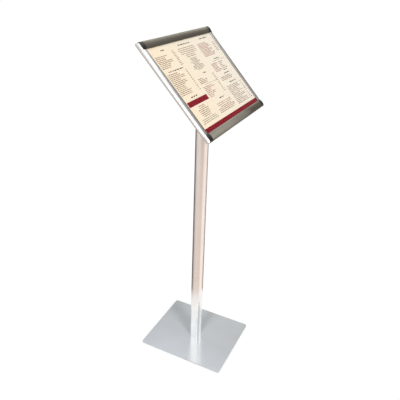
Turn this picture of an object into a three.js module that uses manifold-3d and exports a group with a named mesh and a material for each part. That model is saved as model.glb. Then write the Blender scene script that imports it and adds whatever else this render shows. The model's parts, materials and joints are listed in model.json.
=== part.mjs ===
// Floor-standing sign stand: a steel base plate, one extruded aluminium post and a tilting
// A3 landscape snap frame whose top and bottom rails flip open to change the poster.
//
// Millimetres, +Z up. The reader stands on the -Y side and faces +Y. The origin is on the
// floor under the middle of the base plate, which is also the middle of the post.
import * as THREE from 'three';
import * as BufferGeometryUtils from 'three/addons/utils/BufferGeometryUtils.js';
import Module from 'manifold-3d';

const wasm = await Module();
wasm.setup();

// ---- driving dimensions ------------------------------------------------------------
const GAP = 0.3; // clearance between pieces that touch
const SUNK = 0.1; // how far a countersunk head sits below its surface

// floor parts
const PLATE = { width: 300, depth: 350, thick: 5, cornerRadius: 8 };
const PAD = { radius: 14, thick: 1.2, insetX: 28, insetY: 28 };

// post: an extrusion with a screw port in each corner and faces that bow out a little
const POST = { cornerRadius: 6.5, bow: 11, wall: 2.2, portRadius: 4.4, portHole: 2.6 };
const PORT = { x: 17.2, y: 10.2 }; // the ports are also the centres of the corners

// tilt pivot, on the post's axis
const PIVOT_HEIGHT = 1074.5;
const PIVOT_TO_POST_TOP = 28;
const BARREL = { radius: 12, halfLength: 17 };
const PIVOT_HOLE = 4.3;
const BOLT_RADIUS = 4;
const WASHER = { radius: 9, thick: 1 };
const EAR_THICK = 3;
const BRACKET = { halfHeight: 22, plateThick: 3 };
const BRACKET_SCREW = { x: 12, y: 16.5, radius: 2.5, hole: 2.8, headRadius: 4.8, headDepth: 2.2, tail: 5 };
const NUT = { radius: 4.6, thick: 3.2 };

// head: A3 landscape, tilted back from horizontal by TILT
const TILT = THREE.MathUtils.degToRad(46.8);
const STANDOFF = 21.8; // pivot axis to the front of the clear sheet
const WINDOW = { width: 412, height: 292 }; // part of the poster that shows
const RAIL_WIDTH = 26; // top and bottom rails, out from the window
const SIDE_WIDTH = 23.5; // side rails, out from the window
const SIDE_CREST = 1.9; // height of the side rails' bowed face above the clear sheet
const SIDE_LIP = 0.9; // height of the side rails' inner edge above the clear sheet
const RAIL_CREST = 4.6; // height of the rails' convex face above the clear sheet
const RAIL_LIP = 1.7; // height of the rails' inner edge above the clear sheet
const FRAME_BACK = -9.4; // back of the rails' outer skirt
const FLANGE_BACK = -6.6;
const FLANGE_TOP = -5.1;
const SKIRT_FROM = 19; // inner side of the skirt, out from the window
const SKIN = 1.5; // wall of the flip rails
const FLIP_HALF_LENGTH = 204;
const CAP = { inner: 204.3, outer: 222.7 };
const EAR_INNER = 223;
const EDGE_RADIUS = 5; // outer back edge of the top and bottom rails

// sheets, front to back
const CLEAR_SHEET = { width: 425, height: 303, front: 0, back: -0.8 };
const POSTER = { width: 420, height: 297, front: -1.1, back: -1.5 };
const PANEL = { width: 427, height: 305, front: -1.8, back: -4.8 };

// flip rail hinge, measured out from the window edge
const HINGE = { out: 24.4, normal: -0.1, beadRadius: 1.6, cradleRadius: 2.2 };

// ---- materials ---------------------------------------------------------------------
const finish = (color, roughness, metalness) => () =>
  new THREE.MeshStandardMaterial({ color, roughness, metalness });
const coatedSteel = finish(0xb9bcc0, 0.45, 0.6);
const postAluminium = finish(0xd8ccbf, 0.35, 0.85);
const railAluminium = finish(0x8f8a80, 0.3, 0.9);
const sideAluminium = finish(0xc9c8c4, 0.3, 0.9);
const blackPlastic = finish(0x1d1c19, 0.4, 0.0);
const blackRubber = finish(0x202020, 0.9, 0.0);
const castGrey = finish(0x6f7174, 0.55, 0.7);
const zincSteel = finish(0xb4b6b8, 0.3, 1.0);
const springSteel = finish(0x8b8d90, 0.35, 1.0);
const boardWhite = finish(0xe9e7e2, 0.6, 0.0);
const paper = finish(0xf8ecd2, 0.8, 0.0);
const clearPlastic = () =>
  new THREE.MeshStandardMaterial({
    color: 0xffffff, roughness: 0.1, metalness: 0, transparent: true, opacity: 0.25,
  });

// ---- shape helpers -----------------------------------------------------------------
const rad = THREE.MathUtils.degToRad;

function polygon(points) {
  return new THREE.Shape(points.map(([x, y]) => new THREE.Vector2(x, y)));
}

// Points on an ellipse, from one angle to another in degrees.
function arc(cx, cy, rx, ry, from, to, steps) {
  const points = [];
  for (let i = 0; i <= steps; i += 1) {
    const a = rad(from + ((to - from) * i) / steps);
    points.push([cx + rx * Math.cos(a), cy + ry * Math.sin(a)]);
  }
  return points;
}

function roundedRectangle(width, depth, radius, steps = 5) {
  const x = width / 2 - radius;
  const y = depth / 2 - radius;
  return [
    ...arc(x, y, radius, radius, 0, 90, steps),
    ...arc(-x, y, radius, radius, 90, 180, steps),
    ...arc(-x, -y, radius, radius, 180, 270, steps),
    ...arc(x, -y, radius, radius, 270, 360, steps),
  ];
}

// Extrusions. Up: section in XY. AlongX: section in YZ. AlongY: section in XZ.
function extrudeUp(points, from, to) {
  const settings = { depth: to - from, bevelEnabled: false };
  const geometry = new THREE.ExtrudeGeometry(polygon(points), settings);
  geometry.translate(0, 0, from);
  return geometry;
}

function extrudeAlongX(points, from, to) {
  const geometry = extrudeUp(points, from, to);
  const y = new THREE.Vector3(0, 1, 0);
  const z = new THREE.Vector3(0, 0, 1);
  const x = new THREE.Vector3(1, 0, 0);
  geometry.applyMatrix4(new THREE.Matrix4().makeBasis(y, z, x));
  return geometry;
}

function extrudeAlongY(points, from, to) {
  const geometry = extrudeUp(points, -to, -from);
  geometry.rotateX(Math.PI / 2);
  return geometry;
}

function box(x0, x1, y0, y1, z0, z1) {
  const geometry = new THREE.BoxGeometry(x1 - x0, y1 - y0, z1 - z0);
  geometry.translate((x0 + x1) / 2, (y0 + y1) / 2, (z0 + z1) / 2);
  return geometry;
}

// A turned piece about the Z axis, from [radius, height] pairs that start and end on it.
function turned(profile, sides) {
  const points = profile.map(([r, z]) => new THREE.Vector2(r, z));
  return new THREE.LatheGeometry(points, sides).rotateX(Math.PI / 2);
}

function disc(radius, from, to, sides = 24) {
  return turned([[0, from], [radius, from], [radius, to], [0, to]], sides);
}

const pointAlongX = (geometry) => geometry.rotateY(Math.PI / 2);
const pivotBore = () => pointAlongX(disc(PIVOT_HOLE, -40, 40, 24));

// ---- booleans ----------------------------------------------------------------------
function solid(geometry) {
  const bare = geometry.clone();
  bare.deleteAttribute('normal');
  bare.deleteAttribute('uv');
  const merged = BufferGeometryUtils.mergeVertices(bare, 1e-4);
  return new wasm.Manifold(new wasm.Mesh({
    numProp: 3,
    vertProperties: new Float32Array(merged.attributes.position.array),
    triVerts: new Uint32Array(merged.index.array),
  }));
}

function geometryOf(manifold) {
  const mesh = manifold.getMesh();
  const geometry = new THREE.BufferGeometry();
  geometry.setAttribute('position', new THREE.BufferAttribute(new Float32Array(mesh.vertProperties), 3));
  geometry.setIndex(new THREE.BufferAttribute(new Uint32Array(mesh.triVerts), 1));
  geometry.computeVertexNormals();
  return geometry;
}

// First geometry, plus every one in `joined`, minus every one in `cut`.
function combine(first, joined, cut) {
  let result = solid(first);
  for (const geometry of joined) {
    result = result.add(solid(geometry));
  }
  for (const geometry of cut) {
    result = result.subtract(solid(geometry));
  }
  return geometryOf(result);
}

function place(parent, name, geometry, material, position = [0, 0, 0]) {
  const mesh = new THREE.Mesh(geometry, material());
  mesh.name = name;
  mesh.position.set(...position);
  parent.add(mesh);
  return mesh;
}

const stand = new THREE.Group();

// ---- base plate, pads and the screws that hold the post -----------------------------
const PLATE_BOTTOM = PAD.thick + GAP;
const PLATE_TOP = PLATE_BOTTOM + PLATE.thick;
const POST_BOTTOM = PLATE_TOP + GAP;
const POST_TOP = PIVOT_HEIGHT - PIVOT_TO_POST_TOP;

const SIGNS = [['left', -1], ['right', 1]];
const DEPTHS = [['front', -1], ['rear', 1]];

// Countersunk screw, head down at `bottom`, shank up to `top`.
const COUNTERSINK = { head: 5.4, shank: 2.3, depth: 3 };

function basePlate() {
  const outline = roundedRectangle(PLATE.width, PLATE.depth, PLATE.cornerRadius, 8);
  const cuts = [];
  for (const [, sx] of SIGNS) {
    for (const [, sy] of DEPTHS) {
      const hole = turned([
        [0, PLATE_BOTTOM - 1],
        [COUNTERSINK.head + GAP, PLATE_BOTTOM - 1],
        [COUNTERSINK.head + GAP, PLATE_BOTTOM],
        [COUNTERSINK.shank + GAP, PLATE_BOTTOM + COUNTERSINK.depth],
        [COUNTERSINK.shank + GAP, PLATE_TOP + 1],
        [0, PLATE_TOP + 1],
      ], 20);
      cuts.push(hole.translate(sx * PORT.x, sy * PORT.y, 0));
    }
  }
  return combine(extrudeUp(outline, PLATE_BOTTOM, PLATE_TOP), [], cuts);
}

function baseScrew() {
  const bottom = PLATE_BOTTOM;
  return turned([
    [0, bottom],
    [COUNTERSINK.head, bottom],
    [COUNTERSINK.shank, bottom + COUNTERSINK.depth],
    [COUNTERSINK.shank, POST_BOTTOM + 24],
    [COUNTERSINK.shank - 1.2, POST_BOTTOM + 26],
    [0, POST_BOTTOM + 26],
  ], 16);
}

function footPad() {
  return turned([
    [0, 0],
    [PAD.radius, 0],
    [PAD.radius, PAD.thick],
    [0, PAD.thick],
  ], 28);
}

place(stand, 'base_plate', basePlate(), coatedSteel);
for (const [depthName, sy] of DEPTHS) {
  for (const [sideName, sx] of SIGNS) {
    place(stand, `foot_pad_${depthName}_${sideName}`, footPad(), blackRubber, [
      sx * (PLATE.width / 2 - PAD.insetX),
      sy * (PLATE.depth / 2 - PAD.insetY),
      0,
    ]);
    place(stand, `base_screw_${depthName}_${sideName}`, baseScrew(), zincSteel, [
      sx * PORT.x, sy * PORT.y, 0,
    ]);
  }
}

// ---- post -------------------------------------------------------------------------
const CAVITY = {
  width: 2 * (PORT.x + POST.cornerRadius - POST.wall),
  depth: 2 * (PORT.y + POST.cornerRadius - POST.wall),
};
const BOW = rad(POST.bow); // slope of each face where it meets the corners

// Distance of a bowed face from the post's axis, `along` mm from the face's middle.
function faceDistance(across, lengthwise, along) {
  const span = lengthwise + POST.cornerRadius * Math.sin(BOW);
  const edge = across + POST.cornerRadius * Math.cos(BOW);
  return edge + (span * Math.tan(BOW) * (1 - (along / span) ** 2)) / 2;
}

// Plan of the post, mirrored from the quarter between +X and +Y.
function postOutline() {
  const steps = 8;
  const spanX = PORT.x + POST.cornerRadius * Math.sin(BOW);
  const spanY = PORT.y + POST.cornerRadius * Math.sin(BOW);
  const quarter = [];
  for (let i = 0; i < steps; i += 1) {
    const y = (spanY * i) / steps;
    quarter.push([faceDistance(PORT.x, PORT.y, y), y]);
  }
  const r = POST.cornerRadius;
  quarter.push(...arc(PORT.x, PORT.y, r, r, POST.bow, 90 - POST.bow, 6));
  for (let i = steps - 1; i > 0; i -= 1) {
    const x = (spanX * i) / steps;
    quarter.push([x, faceDistance(PORT.y, PORT.x, x)]);
  }
  const mirror = (sx, sy) => quarter.map(([x, y]) => [sx * x, sy * y]);
  return [
    ...mirror(1, 1),
    ...mirror(-1, 1).reverse(),
    ...mirror(-1, -1).slice(1),
    ...mirror(1, -1).reverse().slice(0, -1),
  ];
}

const PLUG_SCREW = { x: 6, drop: 22, shank: 2, head: 3.9, rim: 0.5 };
const PLUG_SCREW_HEIGHT = POST_TOP - PLUG_SCREW.drop;

// Countersunk screw lying along Y, its head just below the lowest part of the face round it.
// With a clearance it is the hole for one, open to the outside.
function plugScrewProfile(clearance, tip) {
  const face = faceDistance(PORT.y, PORT.x, PLUG_SCREW.x + PLUG_SCREW.head);
  const top = clearance > 0 ? face + 2 : face - SUNK;
  return [
    [0, face - tip],
    [PLUG_SCREW.shank + clearance, face - tip],
    [PLUG_SCREW.shank + clearance, face - POST.wall],
    [PLUG_SCREW.head + clearance, face - PLUG_SCREW.rim],
    [PLUG_SCREW.head + clearance, top],
    [0, top],
  ];
}

function plugScrew(clearance, tip) {
  return turned(plugScrewProfile(clearance, tip), 16).rotateX(-Math.PI / 2);
}

function post() {
  const inner = roundedRectangle(CAVITY.width, CAVITY.depth, 2, 3);
  let body = solid(extrudeUp(postOutline(), POST_BOTTOM, POST_TOP));
  body = body.subtract(solid(extrudeUp(inner, POST_BOTTOM - 1, POST_TOP + 1)));
  for (const [, sx] of SIGNS) {
    for (const [, sy] of DEPTHS) {
      const port = disc(POST.portRadius, POST_BOTTOM, POST_TOP, 16);
      const hole = disc(POST.portHole, POST_BOTTOM - 1, POST_TOP + 1, 16);
      port.translate(sx * PORT.x, sy * PORT.y, 0);
      hole.translate(sx * PORT.x, sy * PORT.y, 0);
      body = body.add(solid(port)).subtract(solid(hole));
    }
  }
  for (const [, sx] of SIGNS) {
    const hole = plugScrew(GAP, 12).translate(sx * PLUG_SCREW.x, 0, PLUG_SCREW_HEIGHT);
    body = body.subtract(solid(hole));
  }
  return geometryOf(body);
}

place(stand, 'post', post(), postAluminium);

// ---- cast mount in the top of the post ----------------------------------------------
// The neck is thin enough for the bracket's nuts to swing down in front of it.
const MOUNT = { flange: 3, insert: 36, neckHalfDepth: 8, flare: 4 };

function postTopMount() {
  const bottom = POST_TOP + GAP;
  const flange = extrudeUp(postOutline(), bottom, bottom + MOUNT.flange);
  // The insert is a cross in plan, so it passes between the four screw ports.
  const portReach = POST.portRadius + GAP;
  const clearX = PORT.x - portReach;
  const clearY = PORT.y - portReach;
  const insertX = CAVITY.width / 2 - GAP;
  const insertY = CAVITY.depth / 2 - GAP;
  const tall = box(-clearX, clearX, -insertY, insertY, POST_TOP - MOUNT.insert, bottom + 1);
  const wide = box(-insertX, insertX, -clearY, clearY, POST_TOP - MOUNT.insert, bottom + 1);
  const flangeTop = bottom + MOUNT.flange;
  const footHalfDepth = MOUNT.neckHalfDepth + MOUNT.flare;
  const neck = extrudeAlongX([
    [-footHalfDepth, bottom + 1],
    [footHalfDepth, bottom + 1],
    [footHalfDepth, flangeTop],
    ...arc(footHalfDepth, flangeTop + MOUNT.flare, MOUNT.flare, MOUNT.flare, 260, 180, 5),
    [MOUNT.neckHalfDepth, PIVOT_HEIGHT],
    [-MOUNT.neckHalfDepth, PIVOT_HEIGHT],
    ...arc(-footHalfDepth, flangeTop + MOUNT.flare, MOUNT.flare, MOUNT.flare, 0, -80, 5),
    [-footHalfDepth, flangeTop],
  ], -BARREL.halfLength, BARREL.halfLength);
  const barrel = pointAlongX(disc(BARREL.radius, -BARREL.halfLength, BARREL.halfLength, 40))
    .translate(0, 0, PIVOT_HEIGHT);
  const bore = pivotBore().translate(0, 0, PIVOT_HEIGHT);
  const screwHoles = SIGNS.map(([, sx]) =>
    plugScrew(GAP, 14).translate(sx * PLUG_SCREW.x, 0, PLUG_SCREW_HEIGHT));
  return combine(flange, [tall, wide, neck, barrel], [bore, ...screwHoles]);
}

place(stand, 'post_top_mount', postTopMount(), castGrey);
for (const [sideName, sx] of SIGNS) {
  place(stand, `plug_screw_${sideName}`, plugScrew(0, 11), zincSteel, [
    sx * PLUG_SCREW.x, 0, PLUG_SCREW_HEIGHT,
  ]);
}

// ---- tilt pivot: bolt, washers and hand knob -----------------------------------------
const WASHER_INNER = BARREL.halfLength + GAP;
const EAR_FACE = WASHER_INNER + WASHER.thick + GAP;
const EAR_OUTER = EAR_FACE + EAR_THICK;
const KNOB = { boss: 8, bossLength: 5, lobeRadius: 13, lobeDepth: 1.4, lobes: 6, thick: 12 };
const BOLT_HEAD = { radius: 7.6, height: 4.6, edge: 1 };
const BOLT_PAST_KNOB = 1.5;

const pivot = new THREE.Group();
pivot.position.set(0, 0, PIVOT_HEIGHT);
stand.add(pivot);

function frictionWasher() {
  const ring = turned([
    [PIVOT_HOLE, 0],
    [WASHER.radius, 0],
    [WASHER.radius, WASHER.thick],
    [PIVOT_HOLE, WASHER.thick],
    [PIVOT_HOLE, 0],
  ], 28);
  return pointAlongX(ring);
}

function pivotBolt() {
  const headFace = -(EAR_OUTER + GAP);
  const end = EAR_OUTER + GAP + KNOB.bossLength + KNOB.thick + BOLT_PAST_KNOB;
  const domeHeight = BOLT_HEAD.height - BOLT_HEAD.edge;
  return pointAlongX(turned([
    [0, headFace - BOLT_HEAD.height],
    ...arc(0, headFace - BOLT_HEAD.edge, BOLT_HEAD.radius, domeHeight, -68, 0, 4),
    [BOLT_HEAD.radius, headFace],
    [BOLT_RADIUS, headFace],
    [BOLT_RADIUS, end - 1],
    [BOLT_RADIUS - 1, end],
    [0, end],
  ], 24));
}

function clampKnob() {
  const outline = [];
  const steps = KNOB.lobes * 10;
  for (let i = 0; i < steps; i += 1) {
    const a = (i / steps) * 2 * Math.PI;
    const r = KNOB.lobeRadius + KNOB.lobeDepth * Math.cos(KNOB.lobes * a);
    outline.push([r * Math.cos(a), r * Math.sin(a)]);
  }
  const start = EAR_OUTER + GAP;
  const bossEnd = start + KNOB.bossLength;
  const grip = extrudeAlongX(outline, bossEnd, bossEnd + KNOB.thick);
  const boss = pointAlongX(disc(KNOB.boss, start, bossEnd + 1, 28));
  return combine(grip, [boss], [pivotBore()]);
}

place(pivot, 'friction_washer_left', frictionWasher(), zincSteel, [-WASHER_INNER - WASHER.thick, 0, 0]);
place(pivot, 'friction_washer_right', frictionWasher(), zincSteel, [WASHER_INNER, 0, 0]);
place(pivot, 'clamp_knob', clampKnob(), blackPlastic);

// ---- head ---------------------------------------------------------------------------
// In the head's own frame X runs along the top rail, Y up the slope and Z out of the
// poster. Z = 0 is the front of the clear sheet, and the frame's middle is the origin.
const head = new THREE.Group();
head.rotation.x = TILT;
head.position.set(0, -STANDOFF * Math.sin(TILT), PIVOT_HEIGHT + STANDOFF * Math.cos(TILT));
stand.add(head);

const BRACKET_FRONT = PANEL.back - GAP;
const BRACKET_BACK = BRACKET_FRONT - BRACKET.plateThick;
const HEIGHTS = [['lower', -1], ['upper', 1]];
const BRACKET_CORNERS = HEIGHTS.flatMap(([heightName, sy]) => SIGNS.map(([sideName, sx]) => [
  `${heightName}_${sideName}`, sx * BRACKET_SCREW.x, sy * BRACKET_SCREW.y,
]));

// Bent steel: a plate on the back of the panel with an ear each side of the barrel.
function tiltBracket() {
  const h = BRACKET.halfHeight;
  const plate = box(-EAR_OUTER, EAR_OUTER, -h, h, BRACKET_BACK, BRACKET_FRONT);
  const earOutline = [
    [-h, BRACKET_FRONT],
    [-h, BRACKET_BACK],
    ...arc(0, -STANDOFF, BARREL.radius, BARREL.radius, 180, 360, 20),
    [h, BRACKET_BACK],
    [h, BRACKET_FRONT],
  ];
  const ears = [
    extrudeAlongX(earOutline, -EAR_OUTER, -EAR_FACE),
    extrudeAlongX(earOutline, EAR_FACE, EAR_OUTER),
  ];
  const cuts = [pivotBore().translate(0, 0, -STANDOFF)];
  for (const [, x, y] of BRACKET_CORNERS) {
    cuts.push(disc(BRACKET_SCREW.hole, BRACKET_BACK - 1, BRACKET_FRONT + 1, 16).translate(x, y, 0));
  }
  return combine(plate, ears, cuts);
}

// Countersunk in the front of the panel, under the poster, with a nut behind the bracket.
function bracketScrewProfile(clearance, end) {
  return [
    [0, end],
    [BRACKET_SCREW.radius + clearance, end],
    [BRACKET_SCREW.radius + clearance, PANEL.front - BRACKET_SCREW.headDepth],
    [BRACKET_SCREW.headRadius + clearance, PANEL.front - SUNK + clearance],
    [0, PANEL.front - SUNK + clearance],
  ];
}

function bracketNut() {
  const top = BRACKET_BACK - GAP;
  const bottom = top - NUT.thick;
  const hexagon = arc(0, 0, NUT.radius, NUT.radius, 0, 300, 5);
  const hole = disc(BRACKET_SCREW.hole, bottom - 1, top + 1, 16);
  return combine(extrudeUp(hexagon, bottom, top), [], [hole]);
}

function backPanel() {
  const x = PANEL.width / 2;
  const y = PANEL.height / 2;
  const cuts = BRACKET_CORNERS.map(([, sx, sy]) =>
    turned(bracketScrewProfile(GAP, PANEL.back - 1), 16).translate(sx, sy, 0));
  return combine(box(-x, x, -y, y, PANEL.back, PANEL.front), [], cuts);
}

const sheet = ({ width, height, front, back }) =>
  box(-width / 2, width / 2, -height / 2, height / 2, back, front);

place(head, 'tilt_bracket', tiltBracket(), castGrey);
place(head, 'pivot_bolt', pivotBolt(), zincSteel, [0, 0, -STANDOFF]);
for (const [name, x, y] of BRACKET_CORNERS) {
  const screw = turned(bracketScrewProfile(0, BRACKET_BACK - BRACKET_SCREW.tail), 16);
  place(head, `bracket_screw_${name}`, screw, zincSteel, [x, y, 0]);
  place(head, `bracket_nut_${name}`, bracketNut(), zincSteel, [x, y, 0]);
}
place(head, 'back_panel', backPanel(), boardWhite);
place(head, 'poster_sheet', sheet(POSTER), paper);
place(head, 'clear_sheet', sheet(CLEAR_SHEET), clearPlastic);

// ---- rail sections ------------------------------------------------------------------
// Sections are drawn as [out, normal]: `out` is measured from the window's edge.
const CREST_AT = RAIL_WIDTH / 2;

// Outside of the closed rail, from its inner lip over the crest to its outer edge.
function railCrown(inset, steps) {
  const a = CREST_AT - inset;
  const rise = RAIL_CREST - RAIL_LIP;
  const points = [];
  for (let i = 0; i <= steps; i += 1) {
    const t = i / steps;
    points.push([inset + a * t, RAIL_LIP - inset + rise * (1 - (1 - t) ** 2)]);
  }
  for (let i = 1; i <= steps; i += 1) {
    const t = rad((90 * i) / steps);
    points.push([CREST_AT + a * Math.sin(t), (RAIL_CREST - inset) * Math.cos(t)]);
  }
  return points;
}

// Flip rail: a thin convex skin with a round bead along its outer edge that turns in the
// base rail's cradle.
function flipRail() {
  const outside = railCrown(0, 12);
  const inside = railCrown(SKIN, 12).reverse();
  const section = [
    [0, GAP],
    ...outside,
    ...inside,
    [SKIN, GAP],
  ].reverse();
  const skin = extrudeAlongX(section, -FLIP_HALF_LENGTH, FLIP_HALF_LENGTH);
  const bead = extrudeAlongX(
    arc(HINGE.out, HINGE.normal, HINGE.beadRadius, HINGE.beadRadius, 0, 345, 23),
    -FLIP_HALF_LENGTH,
    FLIP_HALF_LENGTH,
  );
  return combine(skin, [bead], []);
}

const FLANGE_REACH = 8; // how far the base rails' flanges run in behind the panel
const RIB = { from: 7.8, to: 9.3, top: -1 };
const WALL_FROM = 20.8;

function outerBackEdge() {
  const r = EDGE_RADIUS;
  return arc(RAIL_WIDTH - r, FRAME_BACK + r, r, r, -90, 0, 6);
}

// Base rail: flange under the panel, a rib that stops the panel, and the outer wall with
// the hinge cradle along its top and a skirt below it.
function baseRail() {
  const section = [
    [-FLANGE_REACH, FLANGE_BACK],
    [SKIRT_FROM, FLANGE_BACK],
    [SKIRT_FROM, FRAME_BACK],
    ...outerBackEdge(),
    ...arc(HINGE.out, HINGE.normal, HINGE.cradleRadius, HINGE.cradleRadius, -43, -180, 12),
    [WALL_FROM, HINGE.normal],
    [WALL_FROM, FLANGE_TOP],
    [RIB.to, FLANGE_TOP],
    [RIB.to, RIB.top],
    [RIB.from, RIB.top],
    [RIB.from, FLANGE_TOP],
    [-FLANGE_REACH, FLANGE_TOP],
  ];
  return extrudeAlongX(section, -FLIP_HALF_LENGTH, FLIP_HALF_LENGTH);
}

// Leaf spring: a foot on the flange, a bend, and a finger under the flip rail's skin.
const SPRING = {
  halfLength: 16, thick: 0.6, at: 128, bendAt: 13.2, bendRadius: 2.4, tip: 19.2, tipHeight: 1.1,
};

function leafSpring() {
  const t = SPRING.thick;
  const r = SPRING.bendRadius;
  const foot = FLANGE_TOP + GAP;
  const section = [
    [SPRING.tip + GAP, foot],
    [SPRING.tip + GAP, foot + t],
    [SPRING.bendAt, foot + t],
    ...arc(SPRING.bendAt, foot + t + r, r, r, 270, 100, 8),
    [SPRING.tip, SPRING.tipHeight],
    [SPRING.tip, SPRING.tipHeight + t],
    ...arc(SPRING.bendAt, foot + t + r, r + t, r + t, 95, 270, 8),
  ];
  return extrudeAlongX(section, -SPRING.halfLength, SPRING.halfLength);
}

// Side rail: a C that holds the panel and sheets, a closed chamber that takes the corner
// caps' pegs, and at each end an ear that closes off the corner.
const CHAMBER = { from: 11, to: 18.5, bottom: -5.2, top: -1 };
const ROUND = { from: 10, centre: -4.5, backRadius: 2 };
const EAR = { from: 15, front: 2.6, endArcFrom: 5 };
const SHEET_SLOT = 9; // depth of the side rails' slot for the panel and sheets
const CAP_SCREW = { out: 13, normal: -4.4, shank: 1.3, head: 2.1, depth: 1.2, sunk: 0.5, bite: 10 };
const PEG = { length: 12, root: 3 };

function closedRailOutline() {
  return [
    [GAP, FRAME_BACK],
    ...outerBackEdge(),
    ...railCrown(0, 12).reverse().slice(0, -1),
    [GAP, RAIL_LIP],
  ];
}

// The outside of a side rail or ear, from its back edge round to its front, as [out, normal].
function roundOutside(from, front) {
  const r = ROUND.backRadius;
  const rx = SIDE_WIDTH - from;
  return [
    ...arc(SIDE_WIDTH - r, FRAME_BACK + r, r, r, -90, 0, 3),
    ...arc(from, ROUND.centre, rx, front - ROUND.centre, 0, 90, 12),
  ];
}

function capScrewProfile(clearance, tip) {
  const face = WINDOW.width / 2 + SIDE_WIDTH - CAP_SCREW.sunk;
  return [
    [0, tip],
    [CAP_SCREW.shank + clearance, tip],
    [CAP_SCREW.shank + clearance, face - CAP_SCREW.depth],
    [CAP_SCREW.head + clearance, face + clearance],
    [0, face + clearance],
  ];
}

// A cap screw lies along X, out through the ear at the end of a side rail.
function capScrew(clearance, tip) {
  return pointAlongX(turned(capScrewProfile(clearance, tip), 16));
}

const CAP_SCREW_Y = WINDOW.height / 2 + CAP_SCREW.out;

function sideRail() {
  // Face of the rail, falling from its crest to its inner lip.
  const bow = (steps) => Array.from({ length: steps }, (_, i) => {
    const t = (i + 1) / steps;
    return [ROUND.from * (1 - t), SIDE_CREST - (SIDE_CREST - SIDE_LIP) * t ** 2];
  });
  const half = WINDOW.width / 2;
  const top = WINDOW.height / 2;
  const reach = top - GAP;
  const section = (points) => points.map(([out, normal]) => [half + out, normal]);
  const profile = extrudeAlongY(section([
    [0, FLANGE_BACK],
    [SKIRT_FROM, FLANGE_BACK],
    [SKIRT_FROM, FRAME_BACK],
    ...roundOutside(ROUND.from, SIDE_CREST),
    ...bow(6),
    [0, GAP],
    [SHEET_SLOT, GAP],
    [SHEET_SLOT, FLANGE_TOP],
    [0, FLANGE_TOP],
  ]), -reach, reach);
  const chamber = box(
    half + CHAMBER.from, half + CHAMBER.to, -reach - 1, reach + 1, CHAMBER.bottom, CHAMBER.top,
  );
  let rail = solid(profile).subtract(solid(chamber));

  // Ears: the rail's round outside, a little higher, carried on past the corner to a round end.
  const earOut = EAR_INNER - half;
  const rounded = solid(extrudeAlongY(section([
    [earOut, FRAME_BACK],
    ...roundOutside(EAR.from, EAR.front).filter(([out]) => out > earOut),
    [earOut, EAR.front],
  ]), -top - RAIL_WIDTH, top + RAIL_WIDTH));
  const endCentre = FRAME_BACK + EDGE_RADIUS;
  const end = [
    [-1, FRAME_BACK],
    ...outerBackEdge(),
    ...arc(CREST_AT, endCentre, CREST_AT, RAIL_CREST - endCentre, EAR.endArcFrom, 90, 10),
    [-1, RAIL_CREST],
  ];
  const upperEnd = end.map(([out, n]) => [top + out, n]);
  const lowerEnd = end.map(([out, n]) => [-top - out, n]).reverse();
  const upper = solid(extrudeAlongX(upperEnd, EAR_INNER, half + SIDE_WIDTH));
  const lower = solid(extrudeAlongX(lowerEnd, EAR_INNER, half + SIDE_WIDTH));
  rail = rail.add(rounded.intersect(upper.add(lower)));
  for (const sy of [-1, 1]) {
    const hole = capScrew(GAP, EAR_INNER - 2).translate(0, sy * CAP_SCREW_Y, CAP_SCREW.normal);
    rail = rail.subtract(solid(hole));
  }
  return geometryOf(rail);
}

// Corner cap, drawn for the upper right corner: a moulded block with the closed rail's
// outline, a notch for the corner of the sheets, and a peg into each rail.
function cornerCap(upper) {
  const y0 = WINDOW.height / 2;
  const outline = closedRailOutline().map(([out, normal]) => [y0 + out, normal]);
  const block = extrudeAlongX(outline, CAP.inner, CAP.outer);
  const notch = box(CAP.inner - 1, PANEL.width / 2 + 1, y0 - 1, PANEL.height / 2 + 1, FLANGE_TOP, GAP);
  const half = WINDOW.width / 2;
  const sidePeg = box(
    half + CHAMBER.from + GAP, CAP.outer - GAP,
    y0 - PEG.length, y0 + PEG.root,
    CHAMBER.bottom + GAP, CHAMBER.top - GAP,
  );
  const railPeg = box(
    CAP.inner - PEG.length, CAP.inner + PEG.root,
    y0 + RIB.to + GAP, y0 + WALL_FROM - GAP,
    FLANGE_TOP + GAP, RIB.top,
  );
  const hole = capScrew(GAP, CAP.outer - CAP_SCREW.bite - 1).translate(0, CAP_SCREW_Y, CAP_SCREW.normal);
  const cap = combine(block, [sidePeg, railPeg], [notch, hole]);
  return upper ? cap : mirrored(cap);
}

// The same piece mirrored top to bottom, with its faces turned the right way out again.
function mirrored(geometry) {
  const copy = geometry.clone().scale(1, -1, 1);
  const index = copy.index.array;
  for (let i = 0; i < index.length; i += 3) {
    [index[i], index[i + 1]] = [index[i + 1], index[i]];
  }
  copy.computeVertexNormals();
  return copy;
}

// ---- frame assembly -----------------------------------------------------------------
// The bottom rails are the top ones turned half round about the poster's normal.
for (const [name, turn] of [['top', 0], ['bottom', Math.PI]]) {
  const rails = new THREE.Group();
  rails.rotation.z = turn;
  head.add(rails);
  const edge = WINDOW.height / 2;
  place(rails, `${name}_base_rail`, baseRail(), railAluminium, [0, edge, 0]);
  place(rails, `${name}_flip_rail`, flipRail(), railAluminium, [0, edge, 0]);
  for (const [sideName, sx] of SIGNS) {
    const side = turn === 0 ? sx : -sx;
    place(rails, `leaf_spring_${name}_${sideName}`, leafSpring(), springSteel, [side * SPRING.at, edge, 0]);
  }
}

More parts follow.
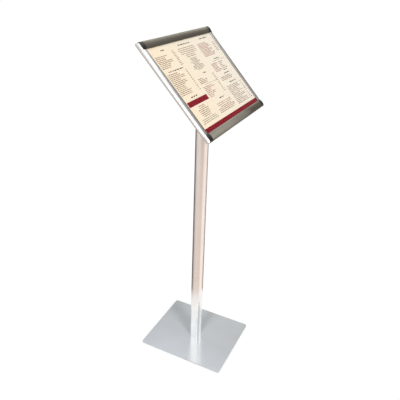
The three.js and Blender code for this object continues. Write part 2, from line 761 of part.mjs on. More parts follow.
// The left side rail and its caps are the right ones turned half round, too.
for (const [sideName, turn] of [['right', 0], ['left', Math.PI]]) {
  const side = new THREE.Group();
  side.rotation.z = turn;
  head.add(side);
  place(side, `side_rail_${sideName}`, sideRail(), sideAluminium);
  for (const [name, sy] of [['top', 1], ['bottom', -1]]) {
    const up = turn === 0 ? sy : -sy;
    place(side, `corner_cap_${name}_${sideName}`, cornerCap(up > 0), blackPlastic);
    place(side, `cap_screw_${name}_${sideName}`, capScrew(0, CAP.outer - CAP_SCREW.bite), zincSteel, [
      0, up * CAP_SCREW_Y, CAP_SCREW.normal,
    ]);
  }
}

export default stand;
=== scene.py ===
"""Looks for the sign stand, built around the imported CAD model.

The CAD nodes keep their shape and get fine bevels and materials. The poster, the hand knob
and the screws that show are built here in more detail and stand for their CAD nodes.
Lengths are in millimetres and are turned into metres where geometry is made.
"""

import json
import math
import random

import bmesh
import bpy
from mathutils import Matrix, Vector
from mathutils.geometry import delaunay_2d_cdt


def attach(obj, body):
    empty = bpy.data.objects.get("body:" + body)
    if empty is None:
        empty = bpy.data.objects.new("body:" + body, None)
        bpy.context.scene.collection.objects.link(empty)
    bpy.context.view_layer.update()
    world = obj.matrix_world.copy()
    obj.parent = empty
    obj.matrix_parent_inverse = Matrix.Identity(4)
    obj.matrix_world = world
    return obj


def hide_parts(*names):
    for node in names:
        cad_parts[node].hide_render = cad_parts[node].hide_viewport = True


MM = 0.001

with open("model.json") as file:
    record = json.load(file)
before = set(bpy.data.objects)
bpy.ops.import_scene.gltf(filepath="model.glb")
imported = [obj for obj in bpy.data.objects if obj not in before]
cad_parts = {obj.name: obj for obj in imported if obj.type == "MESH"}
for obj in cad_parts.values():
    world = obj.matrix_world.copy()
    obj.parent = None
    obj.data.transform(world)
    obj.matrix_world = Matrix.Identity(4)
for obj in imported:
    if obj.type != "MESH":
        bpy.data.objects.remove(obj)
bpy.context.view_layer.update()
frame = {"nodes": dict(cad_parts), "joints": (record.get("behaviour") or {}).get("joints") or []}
nodes = frame["nodes"]
joints = {joint["name"]: joint for joint in frame["joints"]}
slots = {name: node.data.materials[0].name for name, node in nodes.items()}
for imported in list(bpy.data.materials):
    bpy.data.materials.remove(imported)

# ---- the head's own frame ------------------------------------------------------------
# X runs along the top rail, Y up the slope and Z out of the poster. The origin is the
# middle of the window, on the front of the clear sheet.
TILT = math.radians(46.8)
STANDOFF = 21.8  # pivot axis to the front of the clear sheet
PIVOT = Vector(joints["head_tilt"]["pos_m"])
HEAD = (
    Matrix.Translation(PIVOT)
    @ Matrix.Rotation(TILT, 4, "X")
    @ Matrix.Translation((0, 0, STANDOFF * MM))
)


# ---- node helpers --------------------------------------------------------------------
class Nodes:
    """Short calls for the shader nodes used here."""

    def __init__(self, tree):
        self.tree = tree

    def node(self, kind, **inputs):
        made = self.tree.nodes.new(kind)
        for name, value in inputs.items():
            self.feed(made.inputs[name.replace("_", " ")], value)
        return made

    def feed(self, socket, value):
        """Links a socket, or sets a plain value."""
        if isinstance(value, bpy.types.NodeSocket):
            self.tree.links.new(value, socket)
        else:
            socket.default_value = value

    def remap(self, value, low, high, from_low=0.35, from_high=0.65, smooth=False):
        made = self.node("ShaderNodeMapRange", Value=value)
        made.interpolation_type = "SMOOTHSTEP" if smooth else "LINEAR"
        made.inputs["From Min"].default_value = from_low
        made.inputs["From Max"].default_value = from_high
        made.inputs["To Min"].default_value = low
        made.inputs["To Max"].default_value = high
        return made.outputs[0]

    def ramp(self, value, stops):
        made = self.node("ShaderNodeValToRGB", Fac=value)
        elements = made.color_ramp.elements
        for _ in range(len(stops) - 2):
            elements.new(0.5)
        for element, (at, colour) in zip(elements, stops):
            element.position = at
            element.color = (*colour, 1)
        return made.outputs[0]


class Material(Nodes):
    """A procedural material round one Principled surface."""

    def __init__(self, name, **values):
        self.data = bpy.data.materials.new(name)
        self.data.use_nodes = True
        super().__init__(self.data.node_tree)
        self.surface = self.tree.nodes["Principled BSDF"]
        for socket, value in values.items():
            self.surface.inputs[socket.replace("_", " ")].default_value = value

    def position(self, scale=(1, 1, 1), turn=0.0):
        """The piece's own coordinates in metres, turned about X and then scaled."""
        where = self.tree.nodes.new("ShaderNodeTexCoord").outputs["Object"]
        if turn:
            rotated = self.node("ShaderNodeVectorRotate", Vector=where, Angle=turn)
            rotated.rotation_type = "X_AXIS"
            where = rotated.outputs[0]
        return self.node("ShaderNodeMapping", Vector=where, Scale=scale).outputs[0]

    def noise(self, where, scale, detail=2.0, roughness=0.5):
        made = self.node(
            "ShaderNodeTexNoise", Vector=where, Scale=scale, Detail=detail, Roughness=roughness
        )
        return made.outputs[0]

    def mottled(self, where, scale, detail, dark, light):
        """A colour that drifts between two tones."""
        return self.ramp(self.noise(where, scale, detail), [(0.3, dark), (0.7, light)])

    def power(self, value, exponent):
        made = self.node("ShaderNodeMath")
        made.operation = "POWER"
        self.feed(made.inputs[0], value)
        made.inputs[1].default_value = exponent
        return made.outputs[0]

    def bump(self, height, strength, distance):
        made = self.node("ShaderNodeBump", Height=height, Strength=strength, Distance=distance)
        return made.outputs[0]

    def use(self, **sockets):
        for name, value in sockets.items():
            self.feed(self.surface.inputs[name.replace("_", " ")], value)


def srgb(red, green, blue):
    """A linear colour from 8-bit screen values."""
    return tuple(
        c / 12.92 if c <= 0.04045 else ((c + 0.055) / 1.055) ** 2.4
        for c in (red / 255, green / 255, blue / 255)
    )


# ---- materials, one function for each slot of the record -------------------------------
ALONG_X = (0.02, 1, 1)  # stretches a pattern along X, as drawn or brushed metal has it
ALONG_Z = (1, 1, 0.02)


def plate_coating():
    """Silver metallic coat, part paint: faint clouding and a satin gloss."""
    m = Material("plate_coating", Metallic=0.8)
    where = m.position()
    m.use(
        Base_Color=m.mottled(where, 9, 3, srgb(168, 172, 174), srgb(173, 177, 179)),
        Roughness=m.remap(m.noise(where, 25, 3), 0.19, 0.23),
    )
    return m.data


def drawn_aluminium(name, dark, light, stretch, turn=0.0, roughness=(0.3, 0.42)):
    """Satin anodised extrusion with die lines along its length."""
    m = Material(name, Metallic=1.0)
    lines = m.noise(m.position(stretch, turn), 1100, 3, 0.6)
    m.use(
        Base_Color=m.mottled(m.position(), 14, 2, dark, light),
        Roughness=m.remap(lines, *roughness),
        Normal=m.bump(lines, 0.12, 0.00004),
    )
    return m.data


def post_aluminium():
    return drawn_aluminium(
        "post_aluminium", srgb(238, 236, 233), srgb(244, 242, 240), ALONG_Z, roughness=(0.18, 0.26)
    )


# Painted shade: the flip rails are satin silver aluminium like the post and the side rails. Their
# dark olive base colour stands in for the dark reflections they show.
def rail_aluminium():
    return drawn_aluminium(
        "rail_aluminium", srgb(136, 130, 119), srgb(146, 141, 130), ALONG_X, roughness=(0.15, 0.22)
    )


def side_aluminium():
    return drawn_aluminium(
        "side_aluminium", srgb(222, 220, 218), srgb(229, 228, 226), (1, 0.02, 1), -TILT, (0.16, 0.24)
    )


def moulded_plastic(name, colour, roughness, grain):
    """Moulded plastic with a spark-eroded grain."""
    m = Material(name)
    where = m.position()
    m.use(
        Base_Color=m.mottled(where, 35, 3, colour, tuple(c * 1.35 for c in colour)),
        Roughness=m.remap(m.noise(where, 180, 3), roughness - 0.05, roughness + 0.07),
        Normal=m.bump(m.noise(where, grain, 2), 0.3, 0.00006),
    )
    return m.data


def cap_plastic():
    return moulded_plastic("cap_plastic", srgb(24, 23, 21), 0.3, 2200)


def knob_plastic():
    return moulded_plastic("knob_plastic", srgb(30, 30, 31), 0.45, 1800)


def pad_rubber():
    return moulded_plastic("pad_rubber", srgb(34, 34, 35), 0.8, 900)


def cast_mount():
    """Die-cast metal under grey enamel, with a coarse cast skin."""
    m = Material("cast_mount", Metallic=0.3)
    where = m.position()
    m.use(
        Base_Color=m.mottled(where, 40, 4, srgb(104, 106, 109), srgb(120, 122, 125)),
        Roughness=m.remap(m.noise(where, 220, 3), 0.45, 0.6),
        Normal=m.bump(m.noise(where, 700, 3), 0.4, 0.00012),
    )
    return m.data


def bracket_steel():
    """Silver-painted pressed steel."""
    m = Material("bracket_steel", Metallic=0.5)
    where = m.position()
    m.use(
        Base_Color=m.mottled(where, 30, 3, srgb(150, 152, 155), srgb(166, 168, 171)),
        Roughness=m.remap(m.noise(where, 90, 3), 0.34, 0.46),
        Normal=m.bump(m.noise(where, 1100, 2), 0.25, 0.00008),
    )
    return m.data


def plated_steel(name, dark, light, roughness):
    """Zinc-plated or sprung steel, mottled and lightly scuffed."""
    m = Material(name, Metallic=1.0)
    where = m.position()
    m.use(
        Base_Color=m.mottled(where, 160, 3, dark, light),
        Roughness=m.remap(m.noise(where, 420, 4), roughness - 0.06, roughness + 0.1),
        Normal=m.bump(m.noise(where, 2400, 2), 0.2, 0.00004),
    )
    return m.data


def hardware():
    return plated_steel("hardware", srgb(178, 178, 176), srgb(200, 201, 198), 0.3)


def spring_steel():
    return plated_steel("spring_steel", srgb(120, 122, 126), srgb(146, 148, 152), 0.34)


def panel_board():
    """Off-white polystyrene board with a faint leathery grain."""
    m = Material("panel_board")
    where = m.position()
    m.use(
        Base_Color=m.mottled(where, 12, 3, srgb(222, 220, 214), srgb(231, 229, 224)),
        Roughness=m.remap(m.noise(where, 90, 3), 0.5, 0.62),
        Normal=m.bump(m.noise(where, 1300, 3), 0.3, 0.00006),
    )
    return m.data


def clear_cover():
    """Clear anti-glare film: see-through, with a soft gloss that grows at a low angle."""
    m = Material("clear_cover", Metallic=1.0, Roughness=0.16)
    m.surface.inputs["Base Color"].default_value = (1, 1, 1, 1)
    clear = m.node("ShaderNodeBsdfTransparent")
    facing = m.node("ShaderNodeLayerWeight", Blend=0.5).outputs["Facing"]
    gloss = m.remap(m.power(facing, 4), 0.002, 0.3, 0, 1)
    mixed = m.node("ShaderNodeMixShader", Fac=gloss)
    m.feed(mixed.inputs[1], clear.outputs[0])
    m.feed(mixed.inputs[2], m.surface.outputs[0])
    m.feed(m.tree.nodes["Material Output"].inputs["Surface"], mixed.outputs[0])
    return m.data


def poster_paper():
    """Cream menu stock, a little warmer to the left, with paper fibre."""
    m = Material("poster_print", Roughness=0.7)
    m.surface.inputs["Specular IOR Level"].default_value = 0.2
    where = m.position()
    along = m.node("ShaderNodeSeparateXYZ", Vector=where).outputs[0]
    warm = m.remap(along, 0, 1, -0.21, 0.21)
    m.use(
        Base_Color=m.ramp(warm, [(0.0, srgb(251, 234, 206)), (1.0, srgb(248, 239, 223))]),
        Normal=m.bump(m.noise(where, 1600, 3), 0.15, 0.00003),
    )
    return m.data


def ink(name, colour):
    """Printing ink without shine, a little uneven."""
    m = Material(name, Roughness=0.6)
    m.surface.inputs["Specular IOR Level"].default_value = 0.0
    m.use(Base_Color=m.mottled(m.position(), 300, 3, tuple(c * 0.85 for c in colour), colour))
    return m.data


MATERIALS = {
    "plate_coating": plate_coating(),
    "post_aluminium": post_aluminium(),
    "rail_aluminium": rail_aluminium(),
    "side_aluminium": side_aluminium(),
    "cap_plastic": cap_plastic(),
    "knob_plastic": knob_plastic(),
    "pad_rubber": pad_rubber(),
    "cast_mount": cast_mount(),
    "bracket_steel": bracket_steel(),
    "hardware": hardware(),
    "spring_steel": spring_steel(),
    "panel_board": panel_board(),
    "poster_print": poster_paper(),
    "clear_cover": clear_cover(),
}
INKS = [
    ink("ink_dark", srgb(36, 28, 25)),
    ink("ink_brown", srgb(112, 56, 42)),
    ink("ink_pink", srgb(158, 76, 74)),
    ink("ink_red", srgb(142, 12, 34)),
]

# ---- CAD nodes: smooth shading, fine bevels and their slot's material -------------------
BEVELS = {  # edge radius in mm, by slot; anything else gets DEFAULT_BEVEL
    "plate_coating": 0.6,
    "post_aluminium": 0.35,
    "cap_plastic": 0.7,
    "pad_rubber": 0.4,
    "cast_mount": 0.8,
    "bracket_steel": 0.5,
    "spring_steel": 0.1,
    "panel_board": 0.3,
    "clear_cover": 0.08,
}
DEFAULT_BEVEL = 0.25
SHARP = math.radians(28)  # edges sharper than this are bevelled or shaded as edges
WELD = 0.002  # mm between vertices that count as one
FLAT = math.radians(0.5)  # faces closer than this in slope are melted together


def smooth_and_bevel(piece, radius):
    """Joins the split vertices, melts flat faces together and rounds the sharp edges."""
    mesh = piece.data
    if "custom_normal" in mesh.attributes:
        mesh.attributes.remove(mesh.attributes["custom_normal"])
    mesh.polygons.foreach_set("use_smooth", [True] * len(mesh.polygons))
    weld = piece.modifiers.new("weld", "WELD")
    weld.merge_threshold = WELD * MM
    flat = piece.modifiers.new("flat", "DECIMATE")
    flat.decimate_type = "DISSOLVE"
    flat.angle_limit = FLAT
    bevel = piece.modifiers.new("bevel", "BEVEL")
    bevel.width = radius * MM
    bevel.segments = 2
    bevel.limit_method = "ANGLE"
    bevel.angle_limit = SHARP
    bevel.harden_normals = True


for name, slot in slots.items():
    nodes[name].data.materials.clear()
    nodes[name].data.materials.append(MATERIALS[slot])
    smooth_and_bevel(nodes[name], BEVELS.get(slot, DEFAULT_BEVEL))


# ---- poster -----------------------------------------------------------------------------
POSTER = {"width": 420, "height": 297, "front": -1.1, "back": -1.5}
PAPER, DARK, BROWN, PINK, RED = 0, 1, 2, 3, 4  # the poster's material slots
SHORTEST_WORD = 3
LONGEST_WORD = 10
LONGEST_HEADING_WORD = 13


class Print:
    """The bars that stand for the sheet's printing: left, right, low, high and ink."""

    def __init__(self, seed):
        self.random = random.Random(seed)
        self.bars = []

    def bar(self, left, right, middle, height, colour):
        self.bars.append((left, right, middle - height / 2, middle + height / 2, colour))

    def words(self, left, right, middle, height, colour, bold=False):
        """One line of word-long bars."""
        at = left
        while at < right - 2:
            longest = LONGEST_HEADING_WORD if bold else LONGEST_WORD
            end = min(at + self.random.uniform(SHORTEST_WORD, longest), right)
            self.bar(at, end, middle, height, colour)
            at = end + height * self.random.uniform(0.9, 1.3)

    def block(
        self, left, right, top, bottom, pitch, colour, centred=False, fill=(0.55, 1.0), height=2.1
    ):
        """Lines of words of uneven length between two heights."""
        middle = top
        while middle > bottom:
            width = (right - left) * self.random.uniform(*fill)
            start = (left + right - width) / 2 if centred else left
            self.words(start, start + width, middle, height, colour)
            middle -= pitch

    def heading(self, left, right, middle, height=3.4):
        self.words(left, right, middle, height, DARK, bold=True)


def menu_layout():
    """Three columns of generic lines and headings, a red box and a red band."""
    page = Print(7)
    half_width = POSTER["width"] / 2
    half_height = POSTER["height"] / 2

    # left column
    page.heading(-146, -124, 131)
    page.block(-197, -112, 113, 70, 5.4, BROWN)
    page.block(-93, -78, 121, 72, 5.4, BROWN, fill=(0.7, 1.0))
    page.heading(-180, -92, 61.5, 3)
    page.block(-197, -108, 53, -22, 5.4, BROWN)
    page.block(-90, -78, 53, -22, 7.2, BROWN, fill=(0.7, 1.0))
    page.heading(-160, -118, -32)
    page.bar(-200, -73, -49.5, 17, RED)
    page.block(-188, -88, -66, -104, 5.6, BROWN, centred=True, fill=(0.35, 0.8))
    page.block(-197, -80, -107, -119, 5.6, DARK, centred=True, fill=(0.7, 1.0), height=1.7)

    # middle column
    page.heading(-40, 40, 133)
    page.block(-63, 56, 120, 86, 6.4, BROWN, centred=True, fill=(0.5, 1.0))
    page.block(-46, 38, 80, 38, 4.6, DARK, centred=True, fill=(0.4, 0.9), height=1.7)
    page.heading(-10, 10, 23)
    page.block(-63, 34, 8, -8, 5.2, BROWN, fill=(0.3, 0.7))
    page.bar(-46, 50, -14, 0.8, DARK)
    page.block(-63, 20, -21, -58, 5.2, PINK, fill=(0.4, 1.0))
    page.block(42, 56, 10, -58, 6.6, BROWN, fill=(0.7, 1.0))
    page.heading(-16, 17, -72)
    page.block(-64, 58, -86, -100, 6.4, PINK, centred=True, fill=(0.6, 0.95))
    page.block(-64, 58, -104, -120, 5.6, BROWN, fill=(0.75, 1.0))

    # right column
    page.heading(108, 165, 135)
    page.block(73, 162, 118, 68, 4.8, PINK, fill=(0.65, 1.0), height=2.2)
    page.block(178, 196, 112, 76, 6.6, BROWN, fill=(0.7, 1.0))
    page.heading(118, 152, 53)
    page.bar(92, 184, 46, 0.8, DARK)
    page.block(73, 122, 38, 6, 4.8, PINK, fill=(0.7, 1.0), height=2.2)
    page.block(128, 168, 38, 6, 6.4, BROWN, fill=(0.5, 1.0))
    page.heading(116, 160, -6)
    page.block(73, 166, -16, -31, 5.4, BROWN, fill=(0.7, 1.0))
    page.heading(110, 163, -40.5)
    page.block(73, 172, -52, -121, 5.6, BROWN, fill=(0.6, 1.0))
    page.block(180, 196, -52, -121, 7.4, BROWN, fill=(0.6, 1.0))

    # band along the bottom edge
    page.bars.append((-half_width, half_width, -half_height, -131.5, RED))
    return page.bars


def build_poster():
    """The sheet as one closed mesh, whose front is divided round every printed bar."""
    x, y = POSTER["width"] / 2, POSTER["height"] / 2
    outlines = [[(-x, -y), (x, -y), (x, y), (-x, y)]]
    colours = [PAPER]
    for left, right, low, high, colour in menu_layout():
        outlines.append([(left, low), (right, low), (right, high), (left, high)])
        colours.append(colour)
    points = [Vector(p) for outline in outlines for p in outline]
    loops = [list(range(4 * i, 4 * i + 4)) for i in range(len(outlines))]
    found = delaunay_2d_cdt(points, [], loops, 1, 1e-4, True)
    vertices, triangles, sources = found[0], found[2], found[5]

    mesh = bpy.data.meshes.new("poster")
    bm = bmesh.new()
    front = [bm.verts.new((v.x, v.y, POSTER["front"])) for v in vertices]
    for corners, source in zip(triangles, sources):
        face = bm.faces.new([front[i] for i in corners])
        face.material_index = max(colours[s] for s in source)
    rim = [edge for edge in bm.edges if edge.is_boundary]
    skirt = bmesh.ops.extrude_edge_only(bm, edges=rim)["geom"]
    lowered = [v for v in skirt if isinstance(v, bmesh.types.BMVert)]
    for vertex in lowered:
        vertex.co.z = POSTER["back"]
    bmesh.ops.holes_fill(bm, edges=[e for e in bm.edges if e.is_boundary], sides=0)
    bmesh.ops.recalc_face_normals(bm, faces=bm.faces)
    bmesh.ops.transform(bm, matrix=HEAD @ Matrix.Scale(MM, 4), verts=bm.verts)
    bm.to_mesh(mesh)
    bm.free()
    poster = bpy.data.objects.new("poster", mesh)
    bpy.context.scene.collection.objects.link(poster)
    for material in [MATERIALS["poster_print"], *INKS]:
        mesh.materials.append(material)
    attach(poster, "head")
    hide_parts("poster_sheet")


build_poster()


# ---- turned and lobed pieces --------------------------------------------------------------
def circle(radius):
    return lambda angle: radius


def lobed(radius, depth, lobes=6):
    return lambda angle: radius + depth * math.cos(lobes * angle)


def hexagon(flat):
    """Radius of a hexagon with this distance from its middle to each flat."""
    sixth = math.pi / 3
    return lambda angle: flat / math.cos((angle + sixth / 2) % sixth - sixth / 2)


def polar(radius, angle, along):
    return radius * math.cos(angle), radius * math.sin(angle), along


def build_ringed(name, rings, origin, axis, looped=False, sides=60):
    """A mesh skinned over outlines [(mm along the axis, radius by angle)]."""
    turn = Vector((0, 0, 1)).rotation_difference(Vector(axis)).to_matrix().to_4x4()
    mesh = bpy.data.meshes.new(name)
    bm = bmesh.new()
    angles = [2 * math.pi * i / sides for i in range(sides)]
    made = []
    for along, radius in rings:
        made.append([bm.verts.new(polar(radius(angle), angle, along)) for angle in angles])
    pairs = list(zip(made, made[1:]))
    if looped:
        pairs.append((made[-1], made[0]))
    else:
        bm.faces.new(made[0])
        bm.faces.new(made[-1])
    for lower, upper in pairs:
        for i in range(sides):
            j = (i + 1) % sides
            bm.faces.new((lower[i], lower[j], upper[j], upper[i]))
    bmesh.ops.recalc_face_normals(bm, faces=bm.faces)
    place = Matrix.Translation(origin) @ turn @ Matrix.Scale(MM, 4)
    bmesh.ops.transform(bm, matrix=place, verts=bm.verts)
    bm.to_mesh(mesh)
    bm.free()
    mesh.shade_smooth()
    mesh.set_sharp_from_angle(angle=SHARP)
    piece = bpy.data.objects.new(name, mesh)
    bpy.context.scene.collection.objects.link(piece)
    return piece


def stand_for(piece, node_name, body):
    """Puts a piece in a CAD node's place, with its material and body."""
    slot = slots[node_name]
    piece.data.materials.append(MATERIALS[slot])
    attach(piece, body)
    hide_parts(node_name)


# The hand knob's outline, in mm along the bolt from the middle of the stand: radius, and
# for the grip the depth of its lobes too.
KNOB_BORE = 4.3
KNOB_BOSS = [(21.9, 7.6), (22.3, 8.0), (25.9, 8.0), (26.6, 8.4), (26.9, 9.2)]
KNOB_GRIP = [
    (26.9, 10.6, 0.9),
    (27.2, 11.9, 1.2),
    (27.8, 12.7, 1.35),
    (28.8, 13.0, 1.4),
    (36.9, 13.0, 1.4),
    (37.9, 12.7, 1.35),
    (38.6, 11.9, 1.2),
    (38.9, 10.6, 0.9),
]
KNOB_DISH = [(38.9, 8.4), (38.6, 7.9), (37.6, 7.2)]


def build_knob():
    """Six-lobed hand knob with a turned boss, rounded rims and a dished outer face."""
    rings = [(KNOB_BOSS[0][0], circle(KNOB_BORE))]
    rings += [(at, circle(radius)) for at, radius in KNOB_BOSS]
    rings += [(at, lobed(radius, depth)) for at, radius, depth in KNOB_GRIP]
    rings += [(at, circle(radius)) for at, radius in KNOB_DISH]
    rings += [(KNOB_DISH[-1][0], circle(KNOB_BORE))]
    knob = build_ringed("hand_knob", rings, PIVOT, (1, 0, 0), looped=True, sides=120)
    stand_for(knob, "clamp_knob", "knob")


SCREWS = {  # by the start of the name: head radius and depth, shank radius, body
    "base_screw": (5.4, 3.0, 2.3, "stand"),
    "plug_screw": (3.9, 2.2, 2.0, "stand"),
    "cap_screw": (2.1, 1.2, 1.3, "head"),
}
SOCKET_FLAT = 0.42  # of the head's radius
SOCKET_DEPTH = 0.45  # of the head's depth
THREAD_PITCH = 0.45  # of the shank's radius
THREAD_ROOT = 0.86  # of the shank's radius


def screw_axis(name):
    """The way a screw's head faces."""
    if name.startswith("cap_screw"):
        return Vector((-1, 0, 0)) if name.endswith("left") else Vector((1, 0, 0))
    return Vector((0, 1, 0)) if name.startswith("plug_screw") else Vector((0, 0, -1))


def build_screw(name, head, head_depth, shank, body):
    """Countersunk screw with a hexagon socket, rolled thread and dog point."""
    corners = [Vector(corner) for corner in nodes[name].bound_box]
    axis = screw_axis(name)
    middle = sum(corners, Vector()) / 8
    reach = max((corner - middle).dot(axis) for corner in corners)
    length = 2 * reach / MM
    flat = SOCKET_FLAT * head
    rings = [
        (-SOCKET_DEPTH * head_depth, hexagon(flat)),
        (0, hexagon(flat)),
        (0, circle(head - 0.2)),
        (-0.15, circle(head)),
        (-0.3, circle(head)),
        (-head_depth, circle(shank)),
    ]
    pitch = THREAD_PITCH * shank
    at = -head_depth - pitch
    while at > -length + 2:
        rings += [(at, circle(shank)), (at - pitch / 2, circle(THREAD_ROOT * shank))]
        at -= pitch
    rings += [(-length + 0.6, circle(0.8 * shank)), (-length, circle(0.6 * shank))]
    stand_for(build_ringed(f"{name}_detailed", rings, middle + axis * reach, axis), name, body)


build_knob()
for name in nodes:
    for start, sizes in SCREWS.items():
        if name.startswith(start):
            build_screw(name, *sizes)

# ---- floor, light and camera --------------------------------------------------------------
FLOOR_RADIUS = 0.31
FLOOR_GLOW = 0.55
SEEN_WHITE = 1.02  # the surroundings behind the stand
SOFT_WHITE = 0.86  # the even light on everything


def build_floor():
    """A small white disc that fades into the white surroundings and takes a faint shadow."""
    mesh = bpy.data.meshes.new("floor")
    bm = bmesh.new()
    bmesh.ops.create_circle(bm, cap_ends=True, segments=96, radius=FLOOR_RADIUS)
    bm.to_mesh(mesh)
    bm.free()
    floor = bpy.data.objects.new("floor", mesh)
    bpy.context.scene.collection.objects.link(floor)
    m = Material("floor", Roughness=0.9)
    m.use(Base_Color=m.mottled(m.position(), 3, 2, (0.5, 0.5, 0.5), (0.52, 0.52, 0.52)))
    m.surface.inputs["Specular IOR Level"].default_value = 0.0
    m.surface.inputs["Emission Color"].default_value = (1, 1, 1, 1)
    m.surface.inputs["Emission Strength"].default_value = FLOOR_GLOW
    mesh.materials.append(m.data)


# What gloss reflects, by height from straight down (0) to straight up (1).
ROOM = [
    (0.0, (0.82, 0.68, 0.61)),
    (0.3, (0.82, 0.68, 0.61)),
    (0.43, (0.26, 0.23, 0.20)),
    (0.62, (0.28, 0.27, 0.25)),
    (0.74, (0.42, 0.41, 0.40)),
    (0.79, (0.44, 0.44, 0.45)),
    (0.82, (0.44, 0.44, 0.45)),
    (0.86, (0.78, 0.78, 0.80)),
    (1.0, (0.70, 0.70, 0.71)),
]
# Soft bright and dark areas over it: direction, degrees to where it starts to fade and
# to where it ends, and colour. Each is named by what reflects it towards the main camera.
ROOM_AREAS = [
    ((0.67, 0.28, 0.68), 12, 27, (0.02, 0.02, 0.02)),  # rear and right of the plate
    ((-0.60, -0.63, 0.50), 28, 50, (1.02, 1.02, 1.04)),  # outer half of the left rail
    ((-0.65, 0.31, 0.69), 15, 35, (2.2, 2.2, 2.25)),  # post's foot, left face, by way of the plate
    ((0.62, -0.25, 0.745), 6, 14, (2.7, 2.7, 2.75)),  # post's foot, right face
    ((0.14, -0.71, 0.69), 14, 24, (1.7, 1.7, 1.73)),  # post's foot, near corner
    ((0.28, 0.33, 0.90), 17, 29, (1.25, 1.25, 1.38)),  # front of the plate
    ((-0.87, 0.47, -0.12), 14, 30, (0.84, 0.76, 0.71)),  # top of the post's left face
    ((0.77, -0.37, -0.52), 6, 26, (1.12, 0.98, 0.90)),  # post's right face
    ((0.64, 0.64, -0.43), 46, 60, (0.11, 0.11, 0.11)),  # post's two edges
    ((-0.08, 0.88, -0.46), 33, 43, (0.11, 0.11, 0.11)),  # post's left edge
    ((0.975, 0.10, 0.13), 11, 21, (0.12, 0.115, 0.11)),  # inner edge of the left rail
    ((0.87, 0.25, 0.43), 8, 24, (1.0, 0.97, 0.90)),  # outer side of the top rail
]


def build_world():
    """Even white light, except that gloss reflects a room with bright and dark sides."""
    world = bpy.data.worlds.new("studio")
    world.use_nodes = True
    bpy.context.scene.world = world
    world.node_tree.nodes.clear()
    w = Nodes(world.node_tree)
    where = w.node("ShaderNodeTexCoord").outputs["Generated"]
    height = w.node("ShaderNodeSeparateXYZ", Vector=where).outputs[2]
    colour = w.ramp(w.remap(height, 0, 1, -1, 1), ROOM)
    for direction, inner, outer, tint in ROOM_AREAS:
        towards = w.node("ShaderNodeVectorMath")
        towards.operation = "DOT_PRODUCT"
        w.feed(towards.inputs[0], where)
        towards.inputs[1].default_value = Vector(direction).normalized()
        edge, core = (math.cos(math.radians(angle)) for angle in (outer, inner))
        amount = w.remap(towards.outputs["Value"], 0, 1, edge, core, smooth=True)
        mix = w.node("ShaderNodeMixRGB", Fac=amount, Color1=colour, Color2=(*tint, 1))
        colour = mix.outputs[0]
    room = w.node("ShaderNodeBackground", Color=colour)
    white = w.node("ShaderNodeBackground", Color=(1, 1, 1, 1), Strength=SEEN_WHITE)
    soft = w.node("ShaderNodeBackground", Color=(1, 1, 1, 1), Strength=SOFT_WHITE)
    path = w.node("ShaderNodeLightPath")
    seen = w.node("ShaderNodeMixShader", Fac=path.outputs["Is Camera Ray"])
    w.feed(seen.inputs[1], soft.outputs[0])
    w.feed(seen.inputs[2], white.outputs[0])
    mixed = w.node("ShaderNodeMixShader", Fac=path.outputs["Is Glossy Ray"])
    w.feed(mixed.inputs[1], seen.outputs[0])
    w.feed(mixed.inputs[2], room.outputs[0])
    w.node("ShaderNodeOutputWorld", Surface=mixed.outputs[0])


def area_light(name, place, aim, size, power, colour=(1, 1, 1)):
    data = bpy.data.lights.new(name, "AREA")
    data.shape = "DISK"
    data.size = size
    data.energy = power
    data.color = colour
    lamp = bpy.data.objects.new(name, data)
    lamp.location = place
    lamp.rotation_euler = (Vector(aim) - Vector(place)).to_track_quat("-Z", "Y").to_euler()
    bpy.context.scene.collection.objects.link(lamp)
    return lamp


def shine_only_on(lamp, node_name):
    receivers = bpy.data.collections.new(f"lit by {lamp.name}")
    receivers.objects.link(nodes[node_name])
    lamp.light_linking.receiver_collection = receivers
    lamp.visible_camera = False


CAMERA_ANGLES = (-64.36, 27.44, 1.897)  # azimuth, elevation and roll in degrees
CAMERA_TARGET = Vector((-0.0002, 0.0004, 0.6467))
CAMERA_DISTANCE = 1.6895
CAMERA_LENS = 41.73


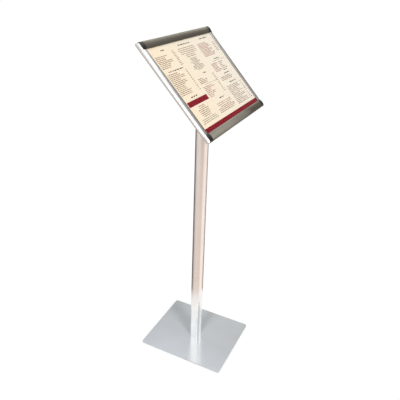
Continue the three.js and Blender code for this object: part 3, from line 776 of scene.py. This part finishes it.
def build_camera():
    """Front left and above."""
    azimuth, elevation, roll = (math.radians(angle) for angle in CAMERA_ANGLES)
    back = Vector((
        math.sin(azimuth) * math.cos(elevation),
        -math.cos(azimuth) * math.cos(elevation),
        math.sin(elevation),
    ))
    right = (-back).cross(Vector((0, 0, 1))).normalized()
    up = right.cross(-back)
    turned_right = right * math.cos(roll) + up * math.sin(roll)
    turned_up = up * math.cos(roll) - right * math.sin(roll)
    data = bpy.data.cameras.new("camera")
    data.sensor_width = 36
    data.lens = CAMERA_LENS
    data.clip_end = 200
    camera = bpy.data.objects.new("camera", data)
    rotation = Matrix((turned_right, turned_up, back)).transposed().to_4x4()
    place = CAMERA_TARGET + back * CAMERA_DISTANCE
    camera.matrix_world = Matrix.Translation(place) @ rotation
    bpy.context.scene.collection.objects.link(camera)
    bpy.context.scene.camera = camera


# Three cards at one place, each wider and stronger, light only the bottom flip rail and
# give its left end a soft bright patch. Two lamps, in front and to the left, light only the
# base plate, without showing in its gloss, and give it the post's soft shadows.
CARD_PLACE = (0.08, -0.27, 1.09)
CARD_AIM = (-0.13, -0.13, 0.96)
CARD_TINT = (0.97, 1, 0.98)
CARDS = ((0.16, 0.05), (0.26, 0.09), (0.36, 0.12))  # size and power
FOOT_LIGHT_PLACES = ((-1.6, -2.4, 2.6), (-2.9, 0.1, 2.6))
FOOT_LIGHT_SIZE = 0.95
FOOT_LIGHT_POWER = 290


def build_lights():
    area_light("key", (-1.6, -2.4, 3.2), (0, 0, 0.7), 1.6, 27, (1, 0.98, 0.96))
    for size, power in CARDS:
        card = area_light("card", CARD_PLACE, CARD_AIM, size, power, CARD_TINT)
        shine_only_on(card, "bottom_flip_rail")
    for place in FOOT_LIGHT_PLACES:
        soft = area_light("soft", place, (0, 0, 0), FOOT_LIGHT_SIZE, FOOT_LIGHT_POWER)
        soft.visible_glossy = False
        shine_only_on(soft, "base_plate")


build_floor()
build_world()
build_lights()
build_camera()
bpy.context.scene.view_settings.view_transform = "Standard"
